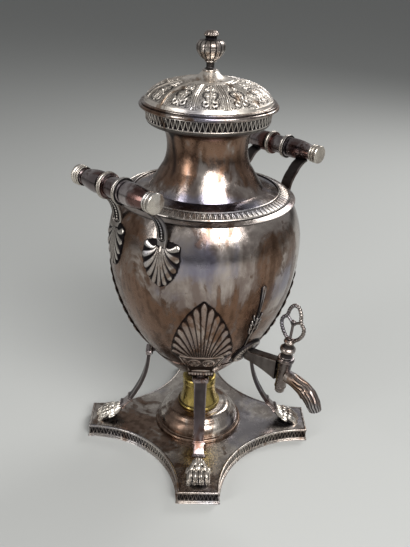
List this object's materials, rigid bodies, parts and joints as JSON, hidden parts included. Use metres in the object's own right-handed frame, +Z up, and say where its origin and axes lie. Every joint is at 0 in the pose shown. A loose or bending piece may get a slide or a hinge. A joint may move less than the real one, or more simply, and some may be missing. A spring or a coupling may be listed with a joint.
{
  "type": "tea urn",
  "caption": "Tarnished silver-plated tea urn on a hollow-sided plinth, with lion-paw legs, hinged domed lid with fluted knob, bar handles, plug tap with openwork key and spirit lamp.",
  "frame": {"origin": "centre of the plinth's underside, on the surface that the urn stands on", "axes": "+Z up along the urn's own axis; the tap points along -Y, the two handles lie to -X and +X, and the lid's hinge is at +Y"},
  "size_m": [0.2372, 0.2494, 0.4159],
  "materials": {
    "silver_plate": "worn and tarnished silver plate, satin, with copper showing through",
    "handle_bronze": "turned bar, purplish brown tarnish with bright rings",
    "cast_ornament": "cast and chased ornament, bright on the high places and black in the hollows",
    "fastener_steel": "small dull fixings",
    "lamp_brass": "yellow brass, dulled",
    "wick_cotton": "woven cotton, scorched at its end",
    "tap_bronze": "dark tarnished tap metal, satin"
  },
  "bodies": {
    "urn": {"burner_dish": "silver_plate", "collar": "silver_plate", "handle_bar_left": "handle_bronze", "handle_bar_right": "handle_bronze", "handle_palmette_left_back": "cast_ornament", "handle_palmette_left_front": "cast_ornament", "handle_palmette_right_back": "cast_ornament", "handle_palmette_right_front": "cast_ornament", "handle_strap_left_back": "silver_plate", "handle_strap_left_front": "silver_plate", "handle_strap_right_back": "silver_plate", "handle_strap_right_front": "silver_plate", "hinge_leaf": "silver_plate", "hinge_pin": "fastener_steel", "leaf_ornament": "cast_ornament", "leg_back_left": "silver_plate", "leg_back_right": "silver_plate", "leg_front_left": "silver_plate", "leg_front_right": "silver_plate", "leg_palmette_back_left": "cast_ornament", "leg_palmette_back_right": "cast_ornament", "leg_palmette_front_left": "cast_ornament", "leg_palmette_front_right": "cast_ornament", "mouth_ring": "silver_plate", "paw_back_left": "cast_ornament", "paw_back_right": "cast_ornament", "paw_front_left": "cast_ornament", "paw_front_right": "cast_ornament", "paw_screws": "fastener_steel", "plinth": "silver_plate", "plinth_frieze": "cast_ornament", "shoulder_frieze": "cast_ornament", "tap_backnut": "fastener_steel", "tap_body": "tap_bronze", "tap_rosette": "tap_bronze", "tap_spout": "tap_bronze", "urn_bowl": "silver_plate", "urn_neck": "silver_plate", "urn_shoulder": "silver_plate"},
    "lid": {"lid_rim": "silver_plate", "lid_dome": "silver_plate", "lid_bezel": "silver_plate", "knob_stem": "silver_plate", "knob_vase": "silver_plate", "knob_button": "silver_plate", "knob_nut": "fastener_steel", "lid_hinge_leaf": "silver_plate"},
    "tap_valve": {"tap_plug": "tap_bronze", "tap_key": "tap_bronze", "tap_nut": "tap_bronze"},
    "lamp": {"lamp_tank": "lamp_brass", "lamp_wick_tube": "lamp_brass", "lamp_wick": "wick_cotton", "lamp_cap": "lamp_brass"}
  },
  "joints": [
    {"name": "lid_hinge", "type": "hinge", "parent": "urn", "child": "lid", "pos_m": [0, 0.065, 0.3515], "axis": [-1, 0, 0], "range_deg": [0, 100]},
    {"name": "tap_turn", "type": "hinge", "parent": "urn", "child": "tap_valve", "pos_m": [0, -0.1074, 0.124], "axis": [0, -0.108, 0.9942], "continuous": true},
    {"name": "lamp_out", "type": "slide", "parent": "urn", "child": "lamp", "axis": [0, 1, 0], "range_m": [0, 0.14]}
  ]
}
